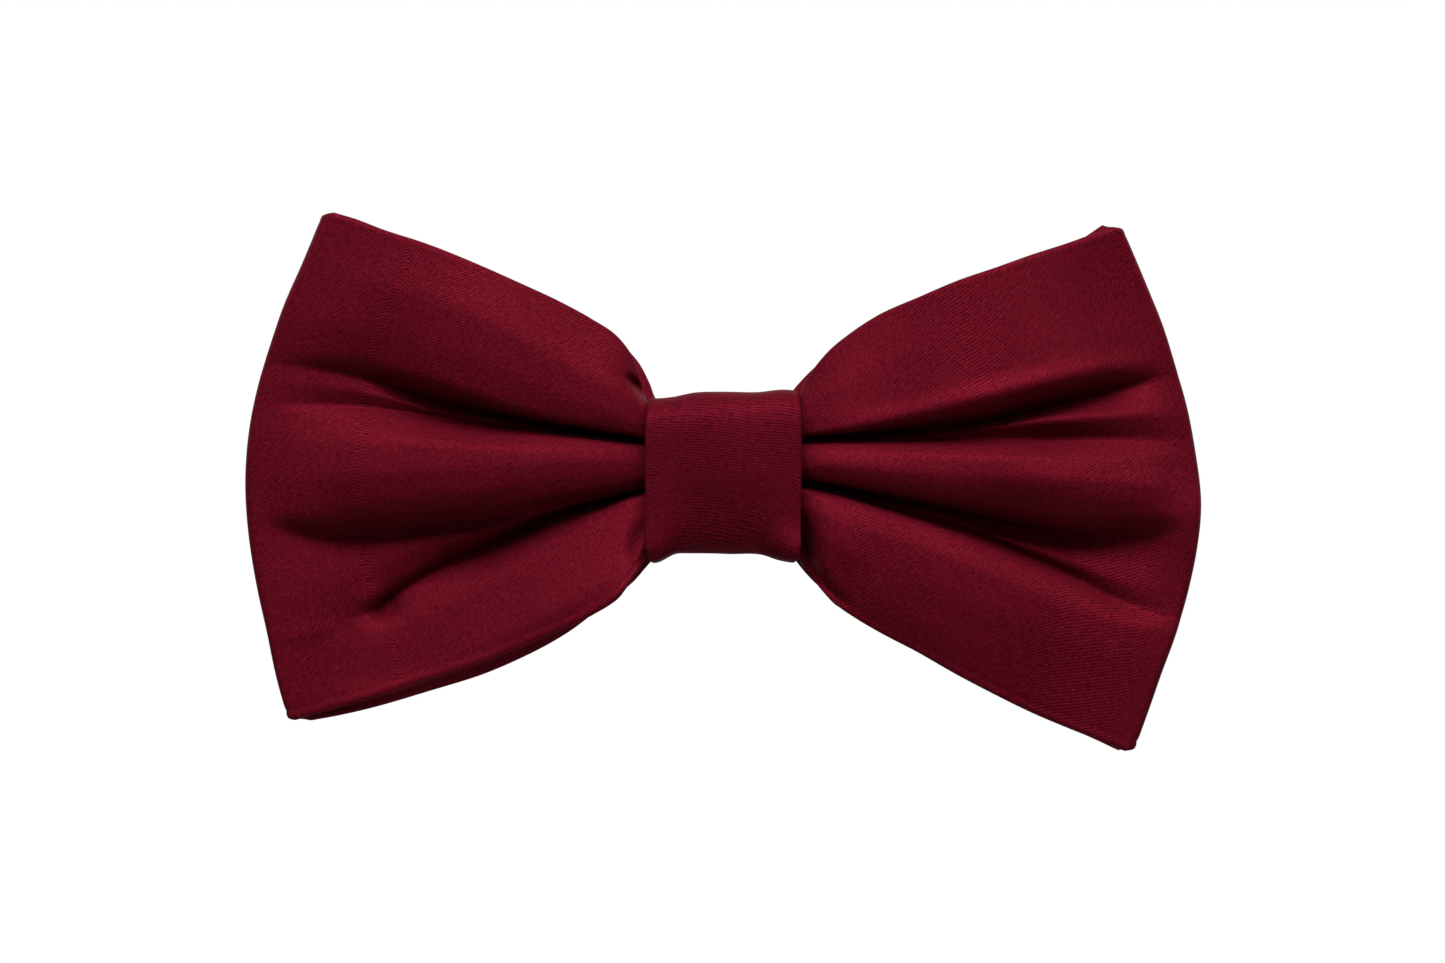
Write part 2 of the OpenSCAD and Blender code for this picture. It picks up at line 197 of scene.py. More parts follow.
# Relief of a front leaf, as lines that run outwards from the knot: (distance out, z, y).
# Each leaf lists them from the bottom up. A "crease" is a sharp fold and a "crest" is a soft one.
LEFT_FRONT = [
    ("crest", [
        (9, -7.6, -11.0), (12, -10.5, -13.2), (16, -13.5, -13.6),
        (30, -20.5, -10.3), (45, -25.5, -7.9), (60, -26.5, -7.5),
    ]),
    ("crest", [
        (9, -4.6, -10.8), (12, -5.5, -11.4), (16, -6.8, -11.0),
        (30, -13.5, -9.1), (45, -20.5, -7.5), (60, -23.0, -7.4),
    ]),
    ("crest", [
        (9, -1.5, -9.8), (12, -2.2, -10.2), (15, -3.4, -9.8), (20, -5.1, -8.6), (25, -7.2, -7.5),
        (30, -9.8, -6.8), (35, -11.8, -6.8), (40, -14.6, -6.9),
        (43, -16.9, -7.1), (50, -20.2, -7.3), (60, -22.0, -7.4),
    ]),
    ("crease", [
        (9, -1.4, -4.6), (15, -3.2, -5.0), (20, -4.7, -5.2), (25, -6.8, -5.4), (30, -9.1, -5.5),
        (35, -11.1, -5.7), (40, -13.7, -5.9), (42.6, -15.7, -6.0),
        (46, -17.6, -7.2), (50, -19.3, -7.5), (60, -21.0, -7.4),
    ]),
    ("crest", [
        (9, -1.3, -7.2), (15, -2.9, -7.3), (20, -4.2, -7.4),
        (25, -6.0, -7.3), (30, -8.1, -7.3), (35, -9.9, -7.4),
        (40, -12.6, -7.4), (43, -14.7, -7.4), (46, -17.1, -7.4), (50, -18.7, -7.3), (60, -20.2, -7.4),
    ]),
    ("crest", [
        (9, -1.2, -9.6), (15, -2.6, -9.7), (20, -3.7, -9.7), (25, -5.2, -9.4), (30, -6.9, -9.1),
        (35, -8.2, -8.8), (40, -9.7, -8.2), (45, -11.6, -7.6), (50, -13.5, -7.3), (60, -16.0, -7.4),
    ]),
    ("crease", [
        (9, -1.0, -9.8), (15, -2.3, -9.8), (20, -3.3, -9.7), (25, -4.6, -9.3), (30, -5.5, -8.6),
        (35, -5.9, -8.1), (40, -6.4, -7.4), (45, -6.9, -6.7),
        (50, -7.4, -6.2), (54, -6.8, -6.3), (60, -6.2, -7.4),
    ]),
    ("crest", [
        (9, -0.5, -10.6), (15, -1.5, -12.0), (20, -2.3, -12.4),
        (25, -3.2, -12.4), (30, -3.9, -12.1), (35, -4.3, -11.7),
        (40, -4.9, -10.9), (45, -5.5, -10.1), (50, -6.0, -9.1), (54, -5.5, -8.4), (60, -4.8, -7.6),
    ]),
    ("crest", [
        (9, 0.2, -11.0), (15, 0.1, -12.9), (20, -0.2, -13.5),
        (25, -0.8, -13.8), (30, -1.8, -13.7), (35, -2.2, -13.2),
        (40, -2.9, -12.4), (45, -3.5, -11.6), (50, -4.0, -10.1), (54, -3.9, -8.9), (60, -3.4, -7.6),
    ]),
    ("crest", [
        (9, 1.6, -11.2), (15, 1.9, -13.2), (20, 1.8, -13.9),
        (30, 1.2, -14.1), (40, 0.6, -13.2), (45, 0.2, -12.4),
        (50, -0.4, -10.9), (54, -0.4, -9.2), (60, -0.4, -7.6),
    ]),
    ("crest", [
        (9, 3.0, -10.8), (15, 3.5, -12.8), (20, 3.6, -13.5),
        (30, 4.0, -13.7), (40, 4.6, -12.7), (45, 4.8, -11.8),
        (54, 4.6, -8.9), (60, 5.0, -7.6),
    ]),
    ("crest", [
        (9, 4.2, -9.6), (12, 4.4, -11.0), (15, 4.85, -11.6),
        (20, 5.5, -11.7), (25, 6.1, -11.2), (30, 6.6, -10.6),
        (45, 8.3, -9.4), (54, 8.5, -8.1), (60, 8.5, -7.5),
    ]),
    ("crease", [
        (9, 4.25, -4.6), (15, 4.95, -5.4), (20, 5.7, -6.6), (25, 6.4, -8.0), (30, 6.9, -9.2),
        (35, 7.2, -9.4), (40, 8.1, -9.2), (45, 8.8, -8.7), (50, 9.1, -8.0), (60, 9.1, -7.4),
    ]),
    ("crest", [
        (9, 4.3, -5.0), (20, 5.8, -6.8), (30, 7.4, -9.2),
        (35, 8.1, -9.8), (45, 10.5, -9.3), (52, 11.4, -8.3), (60, 12, -7.5),
    ]),
    ("crease", [
        (9, 4.35, -5.4), (15, 5.05, -6.0), (20, 5.9, -6.8), (25, 6.8, -7.8), (30, 7.9, -8.2),
        (35, 8.9, -8.3), (40, 10.6, -8.6), (45, 12.2, -8.9), (50, 13.4, -8.3), (60, 14.5, -7.4),
    ]),
    ("crest", [
        (9, 4.6, -10.6), (12, 4.75, -12.0), (15, 5.1, -12.6),
        (20, 6.1, -13.4), (25, 7.5, -14.2), (30, 9.3, -14.7),
        (35, 11.0, -14.0), (40, 12.6, -12.6), (45, 14.3, -10.8), (50, 14.8, -9.6), (60, 16.0, -7.5),
    ]),
    ("crest", [
        (9, 6.4, -11.2), (12, 7.2, -13.0), (20, 9.8, -14.7),
        (30, 14.4, -15.5), (45, 18.5, -11.7), (60, 20.0, -7.6),
    ]),
    ("crest", [
        (9, 8.2, -11.0), (12, 9.8, -13.0), (20, 14.2, -14.9),
        (30, 19.6, -15.5), (45, 24.5, -11.7), (60, 26.0, -7.5),
    ]),
]
RIGHT_FRONT = [
    ("crest", [
        (9, -7.4, -7.6), (10.5, -8.4, -9.8), (12, -9.7, -11.8),
        (16, -13.0, -11.9), (30, -20.5, -10.6), (45, -26.0, -9.0), (60, -29.0, -7.5),
    ]),
    ("crest", [
        (9, -5.4, -9.2), (10.5, -6.2, -10.9), (12, -7.2, -12.2),
        (20, -11.2, -12.3), (30, -15.2, -11.5), (45, -20.8, -9.7), (60, -24.0, -7.6),
    ]),
    ("crest", [
        (9, -3.4, -10.2), (10.5, -3.9, -11.4), (12, -4.6, -12.2),
        (20, -7.2, -12.5), (30, -10.6, -11.6), (45, -16.6, -9.7), (60, -20.0, -7.8),
    ]),
    ("crest", [
        (9, -0.85, -9.8), (12, -1.4, -11.0), (15, -2.1, -11.4),
        (20, -3.7, -11.4), (25, -5.4, -11.0), (30, -7.3, -10.3),
        (35, -9.4, -9.6), (40, -11.6, -9.0), (45, -13.9, -8.4), (50, -16.5, -7.7), (60, -18.5, -7.5),
    ]),
    ("crease", [
        (9, -0.7, -4.6), (15, -1.9, -5.2), (20, -3.4, -6.4), (25, -5.0, -7.4), (30, -6.7, -7.6),
        (35, -8.6, -7.2), (40, -10.8, -6.8), (45, -13.1, -6.5),
        (50, -15.8, -6.6), (54, -17.0, -7.2), (60, -18.0, -7.5),
    ]),
    ("crest", [
        (9, -0.6, -4.8), (20, -3.1, -6.6), (25, -4.4, -7.8), (30, -5.7, -8.4),
        (35, -7.7, -8.2), (40, -9.5, -7.9), (45, -11.4, -7.7),
        (50, -13.4, -7.5), (54, -14.5, -7.6), (60, -15.0, -7.5),
    ]),
    ("crease", [
        (9, -0.5, -5.0), (15, -1.5, -5.6), (20, -2.8, -6.2), (25, -3.9, -6.8), (30, -4.8, -6.8),
        (35, -5.9, -6.4), (40, -6.8, -6.3), (45, -7.4, -6.1),
        (50, -7.3, -6.0), (55, -7.0, -6.4), (60, -6.6, -7.4),
    ]),
    ("crest", [
        (9, -0.3, -10.0), (15, -1.2, -11.4), (20, -1.9, -11.8),
        (25, -2.6, -12.0), (30, -3.2, -11.9), (35, -4.0, -11.4),
        (40, -4.7, -11.3), (45, -5.4, -11.0), (50, -5.2, -10.0), (55, -5.0, -8.8), (60, -5.0, -7.6),
    ]),
    ("crest", [
        (9, 0.2, -10.8), (15, -0.4, -12.3), (20, -0.7, -13.0),
        (25, -1.1, -13.3), (30, -1.3, -13.4), (35, -1.8, -13.2),
        (40, -2.3, -13.2), (45, -2.8, -12.9), (50, -3.0, -11.4), (55, -3.0, -9.3), (60, -3.0, -7.6),
    ]),
    ("crest", [
        (9, 1.4, -11.2), (12, 1.4, -12.6), (20, 0.8, -13.7),
        (30, 0.2, -13.8), (45, -0.6, -13.5), (54, -1.0, -10.6), (60, -1.2, -7.7),
    ]),
    ("crest", [
        (9, 2.8, -11.0), (12, 3.0, -12.2), (20, 2.9, -13.2),
        (30, 2.8, -13.5), (45, 2.6, -12.6), (54, 2.6, -10.0), (60, 2.6, -7.7),
    ]),
    ("crest", [
        (9, 4.4, -9.6), (12, 4.5, -10.8), (20, 4.6, -11.5),
        (25, 4.5, -11.4), (30, 4.4, -11.4), (45, 3.9, -10.8), (60, 3.9, -7.5),
    ]),
    ("crease", [
        (9, 4.5, -4.6), (15, 4.7, -5.4), (20, 4.8, -7.0), (25, 4.9, -9.0),
        (30, 4.8, -10.2), (40, 4.6, -10.2), (50, 4.7, -9.2), (60, 4.7, -7.5),
    ]),
    ("crest", [
        (9, 4.55, -5.0), (20, 4.95, -7.2), (30, 5.7, -10.4),
        (40, 7.2, -12.2), (50, 7.8, -10.8), (60, 8.0, -7.6),
    ]),
    ("crease", [
        (9, 4.6, -5.4), (15, 4.8, -6.0), (20, 5.05, -7.0), (25, 5.5, -8.0), (30, 6.1, -8.6),
        (35, 6.9, -8.3), (40, 8.2, -8.1), (45, 9.5, -7.9),
        (50, 10.9, -7.7), (54, 12.3, -7.8), (60, 13.0, -7.4),
    ]),
    ("crest", [
        (9, 4.8, -10.6), (12, 5.0, -12.4), (15, 5.4, -13.4),
        (20, 6.4, -14.4), (25, 7.6, -15.2), (30, 8.9, -15.8),
        (35, 10.1, -15.6), (40, 11.4, -14.8), (45, 12.6, -13.2),
        (50, 13.6, -11.0), (54, 13.8, -8.8), (60, 15.0, -7.5),
    ]),
    ("crest", [
        (9, 7.0, -11.0), (12, 7.4, -12.4), (20, 8.9, -13.4),
        (30, 11.2, -14.6), (45, 14.9, -12.2), (54, 16.2, -8.8), (60, 17.0, -7.5),
    ]),
    ("crest", [
        (9, 8.4, -10.8), (12, 10.0, -12.0), (20, 14.0, -12.8),
        (30, 17.0, -14.0), (45, 21.0, -11.6), (54, 22.0, -8.8), (60, 22.0, -7.5),
    ]),
]
# The y of the leaves' long edges, and of a rear leaf's lines: (distance out, y)
LEFT_EDGES = {
    "bottom": [(9, -9.6), (10, -12.0), (12, -14.2), (16, -14.2), (30, -10.8), (45, -8.4), (60, -7.4)],
    "top": [
        (9, -8.0), (10, -9.4), (12, -10.8), (16, -11.9), (22, -13.8), (30, -14.9), (45, -11.4), (60, -7.4),
    ],
}
RIGHT_EDGES = {
    "bottom": [(9, -6.6), (10.5, -9.0), (12, -11.0), (16, -10.9), (30, -9.4), (45, -8.5), (60, -7.4)],
    "top": [
        (9, -8.0), (10, -9.2), (12, -10.4), (16, -11.2), (22, -12.4), (30, -14.1), (45, -11.9), (60, -7.4),
    ],
}
REAR_EDGE = [(9, -3.0), (25, -2.6), (45, -2.6), (60, -3.6)]
REAR_EDGES = {"bottom": REAR_EDGE, "top": REAR_EDGE}
REAR_LEVEL = [(9, -3.6), (60, -3.6)]
REAR_DEPTH = {
    "crease": [(9, -1.5), (25, -1.4), (45, -2.4), (60, -3.6)],
    "crest": [(9, -4.4), (25, -4.6), (45, -4.0), (60, -3.8)],
}
# Near the outer fold the relief sinks into one smooth level: (distance out, y) of the level, and
# (distance out, share) of the relief that is left
FOLD_LEVEL = [(9, -8.6), (48, -8.6), (60, -7.4)]
RELIEF_LEFT = [(9, 1.0), (50, 1.0), (54, 0.85), (59, 0.05), (60, 0.0)]
# How far each rear leaf's edges stand off the front leaf's: (reach from the knot, x, z)
REAR_SHIFT = {
    "left": {
        "top": [(0, 0.3, -0.5), (0.15, 0.3, -1.2), (0.3, 0, -1.2), (0.7, 0, -0.8), (1, 0, 0)],
        "bottom": [
            (0, 0.3, 0.6), (0.1, 0.3, 0.9), (0.2, 0, 0.5),
            (0.3, 0, -0.6), (0.6, 0, -1.4), (0.9, 0, -1.0), (1, 1.6, -0.2),
        ],
    },
    "right": {
        "top": [
            (0, -0.3, -0.5), (0.15, -0.3, -1.4), (0.3, 0, -1.2), (0.7, 0, -0.8), (0.9, 0, -0.2),
            (1, -0.7, 0.7),
        ],
        "bottom": [(0, -0.3, 0.6), (0.12, -0.3, 1.2), (0.35, 0, 0.8), (0.7, 0, 0.5), (1, -0.4, -0.1)],
    },
}
# Small dents pressed into the front leaves: (x, z) line, depth, half width. A negative depth is a bulge.
DENTS = [
    ([(-42.2, -14.8), (-42.9, -16.6), (-43.4, -17.4)], 1.0, 1.8),
    ([(-42.8, -15.0), (-45.4, -15.9)], -0.7, 1.3),
    ([(-41.2, -16.9), (-42.9, -16.3), (-45.8, -16.9), (-48.9, -18.4)], 0.4, 1.3),
    ([(-42.5, -16.4), (-43.4, -16.9)], 2.2, 0.8),
    ([(-11.7, 12.2), (-10.6, 11.2), (-9.8, 10.2)], 2.0, 0.55),
    ([(-10.4, -6.6), (-11.2, -9.4)], 0.7, 1.0),
    ([(9.6, -6.2), (10.6, -9.4)], 3.0, 0.9),
    ([(10.4, -9.6), (12.0, -12.8), (14.7, -15.6)], 1.3, 0.9),
    ([(52.5, -3.6), (56.0, -4.5), (58.5, -6.0)], -1.4, 4.0),
]
DENT_POINTS = 25
# A dent fades towards both ends of its line, as this stretch of a half sine does.
DENT_FADE = (0.12, 0.88)


# ---------------------------------------------------------------- curves


def smooth_curve(stations, values, at):
    """Smooth curve through values at the given stations (cubic Hermite with averaged slopes)."""
    stations = np.asarray(stations, float)
    values = np.asarray(values, float)
    at = np.clip(np.asarray(at, float), stations[0], stations[-1])
    steps = np.diff(stations)
    rises = np.diff(values, axis=0)
    slopes = rises / (steps[:, None] if values.ndim == 2 else steps)
    mid = np.zeros_like(values)
    mid[0] = slopes[0]
    mid[-1] = slopes[-1]
    for i in range(1, len(stations) - 1):
        mid[i] = (slopes[i - 1] * steps[i] + slopes[i] * steps[i - 1]) / (steps[i - 1] + steps[i])
    k = np.clip(np.searchsorted(stations, at, side="right") - 1, 0, len(steps) - 1)
    step = steps[k]
    u = (at - stations[k]) / step
    if values.ndim == 2:
        step = step[:, None]
        u = u[:, None]
    return (
        (2 * u**3 - 3 * u**2 + 1) * values[k]
        + (u**3 - 2 * u**2 + u) * step * mid[k]
        + (3 * u**2 - 2 * u**3) * values[k + 1]
        + (u**3 - u**2) * step * mid[k + 1]
    )


def profile(rows, at):
    """Values of a (reach, value, ...) table at the given reaches."""
    table = np.asarray(rows, float)
    values = table[:, 1] if table.shape[1] == 2 else table[:, 1:]
    return smooth_curve(table[:, 0], values, at)


def outline(points, at):
    """Point of a given line at shares of its length."""
    points = np.asarray(points, float)
    lengths = np.linalg.norm(np.diff(points, axis=0), axis=1)
    stations = np.concatenate([[0], np.cumsum(lengths)])
    return smooth_curve(stations / stations[-1], points, at)


def along(points):
    """Distance of each point from the first, along the line."""
    return np.concatenate([[0], np.cumsum(np.linalg.norm(np.diff(points, axis=0), axis=1))])


def resampled(points, count, fine_start=False, fine_end=False):
    """The line through points again, in equal steps, with finer steps by a free edge."""
    distance = along(points)
    length = distance[-1]
    start = [0.0, *EDGE_COLUMNS] if fine_start else [0.0]
    end = [length - d for d in reversed((0.0, *EDGE_COLUMNS))] if fine_end else [length]
    at = np.concatenate([start[:-1], np.linspace(start[-1], end[0], count + 1), end[1:]])
    return np.stack([np.interp(at, distance, points[:, k]) for k in range(points.shape[1])], axis=1)


# ---------------------------------------------------------------- the bow's strip


def face_map(top, bottom, fold, row, share):
    """Points (x, z) of a leaf seen from the front, filled in between its four edge lines."""
    reach = row / LEAF_ROWS
    f = share[:, None]
    knot_line = bottom[0] + (top[0] - bottom[0]) * f
    fold_line = np.column_stack([np.interp(share, SHARES, fold[:, k]) for k in (0, 1)])
    corners = (1 - f) * (1 - reach) * bottom[0] + (1 - f) * reach * bottom[-1]
    corners = corners + f * (1 - reach) * top[0] + f * reach * top[-1]
    return (1 - f) * bottom[row] + f * top[row] + (1 - reach) * knot_line + reach * fold_line - corners


def softened(values, passes):
    """Values smoothed along the first axis, with both ends kept."""
    out = values.copy()
    for _ in range(passes):
        padded = np.concatenate([2 * out[:1] - out[1:2], out, 2 * out[-1:] - out[-2:-1]])
        out = (padded[:-2] + 2 * out + padded[2:]) / 4
    return out


def crossing(line, base):
    """Where a relief line crosses a row's points (x, z): share of the row, depth, distance out."""
    out = np.abs(base[:, 0])
    table = np.asarray(line, float)
    rise = smooth_curve(table[:, 0], table[:, 1], out) - base[:, 1]
    at = int(np.argmax(rise < 0)) if (rise < 0).any() else len(SHARES) - 1
    at = max(at, 1)
    share = SHARES[at - 1] + (SHARES[at] - SHARES[at - 1]) * rise[at - 1] / (rise[at - 1] - rise[at])
    place = float(np.interp(share, SHARES, out))
    return share, float(smooth_curve(table[:, 0], table[:, 2], [place])[0]), place


def leaf_row(relief, edges, fold_level, place):
    """One row of a leaf from its bottom edge to its top edge, with a column on every crease."""
    base = place(SHARES)
    ends = [profile(edges[name], np.abs(base[[k], 0]))[0] for name, k in (("bottom", 0), ("top", -1))]
    lobe = [(0.0, ends[0])]
    lobes = []
    for kind, line in relief:
        share, depth, out = crossing(line, base)
        level = float(profile(fold_level, [out])[0])
        depth = level + (depth - level) * float(profile(RELIEF_LEFT, [out])[0])
        share = max(share, lobe[-1][0] + LINE_GAP)
        lobe.append((share, depth))
        if kind == "crease":
            lobes.append(lobe)
            lobe = [(share, depth)]
    lobes.append([*lobe, (1.0, ends[1])])
    parts = []
    for k, knots in enumerate(lobes):
        knots = np.array(knots)
        shares = np.linspace(knots[0, 0], knots[-1, 0], LOBE_SAMPLES)
        depth = softened(np.interp(shares, knots[:, 0], knots[:, 1]), RELIEF_PASSES)
        flat = place(shares)
        points = np.column_stack([flat[:, 0], depth, flat[:, 1]])
        even = resampled(points, LOBE_COLUMNS[k], fine_start=k == 0, fine_end=k == len(lobes) - 1)
        parts.append(even if k == 0 else even[1:])
    return np.concatenate(parts)


def inset_line(points, at, inward):
    """Points of a silhouette line, drawn in by half the cloth's thickness."""
    line = outline(points, at)
    run = np.gradient(line, axis=0)
    normal = np.stack([-run[:, 1], run[:, 0]], axis=1) / np.linalg.norm(run, axis=1, keepdims=True)
    return line + normal * np.copysign(1.0, normal[:, 1:] * inward) * CLOTH_T / 2


def leaf(outline_lines, relief, edges, fold_level, shift=None):
    """Grid of points of one leaf, from the knot to where the outer fold starts."""
    side = -1 if outline_lines["top"][0][0] < 0 else 1
    reaches = np.linspace(0, 1, LEAF_ROWS + 1)
    top = inset_line(outline_lines["top"], reaches, -1)
    bottom = inset_line(outline_lines["bottom"], reaches, 1)
    for edge, name in ((top, "top"), (bottom, "bottom")):
        if shift:
            edge += profile(shift[name], reaches)
        edge[:, 0] -= side * FOLD_OUT * reaches
    fold = outline(outline_lines["fold"], SHARES) - np.array([side * FOLD_OUT, 0])
    low = (1 - SHARES)[:, None] ** CORNER_PULL * (bottom[-1] - fold[0])
    high = SHARES[:, None] ** CORNER_PULL * (top[-1] - fold[-1])
    fold = fold + low + high
    rows = []
    for row in range(LEAF_ROWS + 1):
        place = functools.partial(face_map, top, bottom, fold, row)
        rows.append(leaf_row(relief, edges, fold_level, place))
    return np.array(rows)


def rear_relief(front):
    """Relief of a rear leaf: the front leaf's lines at the rear leaf's depths."""
    lines = []
    for kind, line in front:
        depths = profile(REAR_DEPTH[kind], [row[0] for row in line])
        lines.append((kind, [(row[0], row[1], depth) for row, depth in zip(line, depths)]))
    return lines


def dented(grid):
    """A front leaf's grid with the small dents pressed in."""
    grid = grid.copy()
    for line, depth, half_width in DENTS:
        points = outline(line, np.linspace(0, 1, DENT_POINTS))
        gaps = np.linalg.norm(grid[..., None, ::2] - points, axis=-1)
        fade = np.sin(np.linspace(*DENT_FADE, DENT_POINTS) * math.pi) ** 0.5
        grid[..., 1] += depth * (fade * np.exp(-((gaps / half_width) ** 2))).max(axis=-1)
    return grid


def outer_fold(front, rear, side):
    """Rows that turn from the front leaf's last row to the rear leaf's, without the two ends."""
    angles = np.linspace(0, math.pi, FOLD_ROWS + 1)[1:-1]
    rows = []
    for angle in angles:
        across = (1 - math.cos(angle)) / 2
        row = front + (rear - front) * across
        row[:, 0] += side * FOLD_OUT * math.sin(angle) ** FOLD_ROUNDNESS
        rows.append(row)
    return np.array(rows)


def between(row_a, row_b, count):
    """Rows in the waist between two rows, without the two ends."""
    return np.array([row_a + (row_b - row_a) * k / count for k in range(1, count)])


def strip_rows():
    """The whole strip's outer surface, as a loop that starts and ends at the back of the knot."""
    right_front = dented(leaf(RIGHT_OUTLINE, RIGHT_FRONT, RIGHT_EDGES, FOLD_LEVEL))
    left_front = dented(leaf(LEFT_OUTLINE, LEFT_FRONT, LEFT_EDGES, FOLD_LEVEL))
    right_rear = leaf(RIGHT_OUTLINE, rear_relief(RIGHT_FRONT), REAR_EDGES, REAR_LEVEL, REAR_SHIFT["right"])
    left_rear = leaf(LEFT_OUTLINE, rear_relief(LEFT_FRONT), REAR_EDGES, REAR_LEVEL, REAR_SHIFT["left"])
    back = (right_rear[0] + left_rear[0]) / 2
    start = back.copy()
    end = back.copy()
    start[:, 0] = BACK_SEAM_HALF_GAP
    end[:, 0] = -BACK_SEAM_HALF_GAP
    return np.concatenate([
        start[None],
        between(start, right_rear[0], WAIST_ROWS // 2),
        right_rear,
        outer_fold(right_front[-1], right_rear[-1], 1)[::-1],
        right_front[::-1],
        between(right_front[0], left_front[0], WAIST_ROWS),
        left_front,
        outer_fold(left_front[-1], left_rear[-1], -1),
        left_rear[::-1],
        between(left_rear[0], end, WAIST_ROWS // 2),
        end[None],
    ])


def grid_normals(grid):
    """Unit normals of a grid of points, pointing out of the loop."""
    down = np.gradient(grid, axis=0)
    across = np.gradient(grid, axis=1)
    normal = np.cross(across, down)
    length = np.linalg.norm(normal, axis=2, keepdims=True)
    return normal / np.maximum(length, 1e-9)


def blurred(grid, passes, axis=1):
    """The grid smoothed along an axis."""
    out = grid.copy()
    for _ in range(passes):
        padded = np.concatenate([out.take([0], axis), out, out.take([-1], axis)], axis)
        count = out.shape[axis]
        before = padded.take(range(0, count), axis)
        after = padded.take(range(2, count + 2), axis)
        out = (before + 2 * out + after) / 4
    return out


def seam_groove(outer, depths):
    """Depth of the pressed line that runs along both long edges."""
    steps = np.linalg.norm(np.diff(outer, axis=1), axis=2)
    from_bottom = np.concatenate([np.zeros((len(outer), 1)), np.cumsum(steps, axis=1)], axis=1)
    to_edge = np.minimum(from_bottom, from_bottom[:, -1:] - from_bottom)
    upper = from_bottom > from_bottom[:, -1:] / 2
    return np.where(upper, depths[1], depths[0]) * np.exp(-(((to_edge - SEAM_AT) / SEAM_W) ** 2))


def closed_rows(outer, thickness, smoothing, groove=(0.0, 0.0)):
    """Ring of points for every row: the outer surface, a round edge, the inner surface, a round edge."""
    normal = blurred(grid_normals(outer), smoothing)
    normal = normal / np.maximum(np.linalg.norm(normal, axis=2, keepdims=True), 1e-9)
    middle = outer - normal * thickness / 2
    inner = outer - normal * thickness
    outer = outer - normal * seam_groove(outer, groove)[..., None]
    rings = []
    for end, sign in ((-1, 1), (0, -1)):
        edge_out = sign * (outer[:, end] - outer[:, end - sign])
        edge_out = sign * edge_out / np.maximum(np.linalg.norm(edge_out, axis=1, keepdims=True), 1e-9)
        n = normal[:, end]
        angles = np.linspace(0, math.pi, EDGE_STEPS + 2)[1:-1]
        if end == 0:
            angles = angles[::-1]
        turned = [n * math.cos(a) + edge_out * math.sin(a) for a in angles]
        rings.append([middle[:, end] + thickness / 2 * t for t in turned])
    top = np.stack(rings[0], axis=1)
    bottom = np.stack(rings[1], axis=1)
    return np.concatenate([outer, top, inner[:, ::-1], bottom], axis=1)


def loop_uv(outer, ring_count, thickness):
    """Flat cloth coordinates in metres for every point of the closed rows."""
    u_steps = np.linalg.norm(np.diff(outer, axis=0), axis=2).mean(axis=1)
    u = -np.concatenate([[0], np.cumsum(u_steps)])
    v_steps = np.linalg.norm(np.diff(outer, axis=1), axis=2)
    v = np.concatenate([np.zeros((len(outer), 1)), np.cumsum(v_steps, axis=1)], axis=1)
    v = v - v[:, -1:] / 2
    edge = thickness / 2 * np.linspace(0, math.pi, EDGE_STEPS + 2)[1:-1]
    top = v[:, -1:] + edge
    bottom = v[:, :1] - edge[::-1]
    width = thickness * math.pi / 2
    inner = 2 * v[:, -1:] + width - v[:, ::-1]
    ring = np.concatenate([v, top, inner, bottom], axis=1)
    uv = np.stack([np.repeat(u[:, None], ring_count, axis=1), ring], axis=2)
    return uv * MM


# ---------------------------------------------------------------- meshes


def mesh_object(name, points, faces, material, uv=None):
    """A smooth-shaded mesh from points in millimetres, with optional UVs per point."""
    mesh = bpy.data.meshes.new(name)
    mesh.from_pydata((np.asarray(points) * MM).tolist(), [], faces)
    mesh.polygons.foreach_set("use_smooth", [True] * len(mesh.polygons))
    if uv is not None:
        layer = mesh.uv_layers.new(name="Cloth")
        index = np.empty(len(mesh.loops), int)
        mesh.loops.foreach_get("vertex_index", index)
        layer.data.foreach_set("uv", np.asarray(uv)[index].ravel())
    mesh.validate()
    mesh.update()
    mesh.materials.append(material)
    piece = bpy.data.objects.new(name, mesh)
    bpy.context.scene.collection.objects.link(piece)
    return piece


def tube_faces(rows, ring):
    """Faces of a closed tube of rows rings with ring points each, with flat ends."""
    faces = []
    for i in range(rows - 1):
        for j in range(ring):
            k = (j + 1) % ring
            faces.append((i * ring + j, i * ring + k, (i + 1) * ring + k, (i + 1) * ring + j))
    faces.append(tuple(range(ring - 1, -1, -1)))
    faces.append(tuple((rows - 1) * ring + j for j in range(ring)))
    return faces


def make_bow(material):
    """The bow, and the length of its strip."""
    outer = strip_rows()
    rings = closed_rows(outer, CLOTH_T, BOW_NORMAL_PASSES, BOW_GROOVE)
    uv = loop_uv(outer, rings.shape[1], CLOTH_T)
    faces = tube_faces(*rings.shape[:2])
    bow = mesh_object("bow", rings.reshape(-1, 3), faces, material, uv.reshape(-1, 2))
    return bow, along(outer[:, outer.shape[1] // 2])[-1]


# ---------------------------------------------------------------- the knot and the small pieces


def knot_path(degrees, x, inset=0.0):
    """Point (y, z) of the knot's outer surface at an angle round it: 0 is the back, 90 the top."""
    angle = math.radians(degrees)
    ends = KNOT_TOP if math.sin(angle) > 0 else KNOT_BOTTOM
    table = np.asarray(ends, float)
    half_h = float(smooth_curve(table[:, 0], table[:, 1], [x])[0])
    half_depth = KNOT_HALF_DEPTH - KNOT_SIDE_LOSS * (x / KNOT_SIDE_AT) ** 4
    low_power = KNOT_LOW_POWER + KNOT_CORNER_POWER * (x / KNOT_CORNER_AT) ** 4
    power = KNOT_TOP_POWER if math.sin(angle) > 0 else low_power
    rise = math.copysign(abs(math.sin(angle)) ** (2 / power), math.sin(angle))
    run = math.copysign(abs(math.cos(angle)) ** (2 / power), math.cos(angle))
    return KNOT_Y + (half_depth - inset) * run, (half_h - inset) * rise


